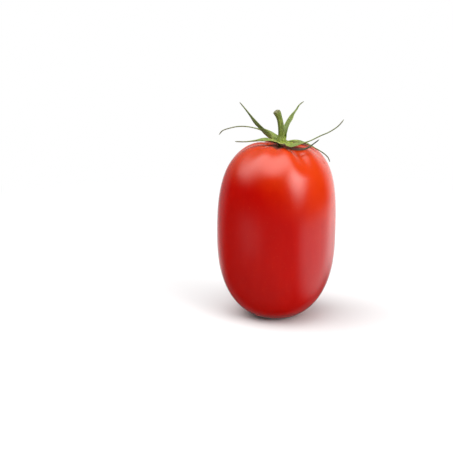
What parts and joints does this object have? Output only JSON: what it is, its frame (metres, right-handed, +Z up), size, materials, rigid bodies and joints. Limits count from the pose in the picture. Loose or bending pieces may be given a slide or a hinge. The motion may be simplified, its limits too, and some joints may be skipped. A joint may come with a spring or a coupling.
{
  "type": "tomato",
  "caption": "Ripe red plum tomato standing on its blossom end, with its green star of thin sepals and its short broken stalk.",
  "frame": {"origin": "centre of the small flat spot under the blossom end that the tomato rests on", "axes": "+Z up along the fruit from the blossom end to the stalk, -Y the front, +X to the right of the front"},
  "size_m": [0.0551, 0.0526, 0.0961],
  "materials": {
    "tomato_skin": "gloss",
    "calyx_green": "matte",
    "stalk_green": "matte",
    "sepal_green": "matte"
  },
  "bodies": {
    "root": {"fruit": "tomato_skin", "calyx_disc": "calyx_green", "stalk": "stalk_green", "sepal_right": "sepal_green", "sepal_back_right": "sepal_green", "sepal_back": "sepal_green", "sepal_left": "sepal_green", "sepal_front_left": "sepal_green", "sepal_front": "sepal_green", "sepal_front_right": "sepal_green"}
  },
  "joints": []
}
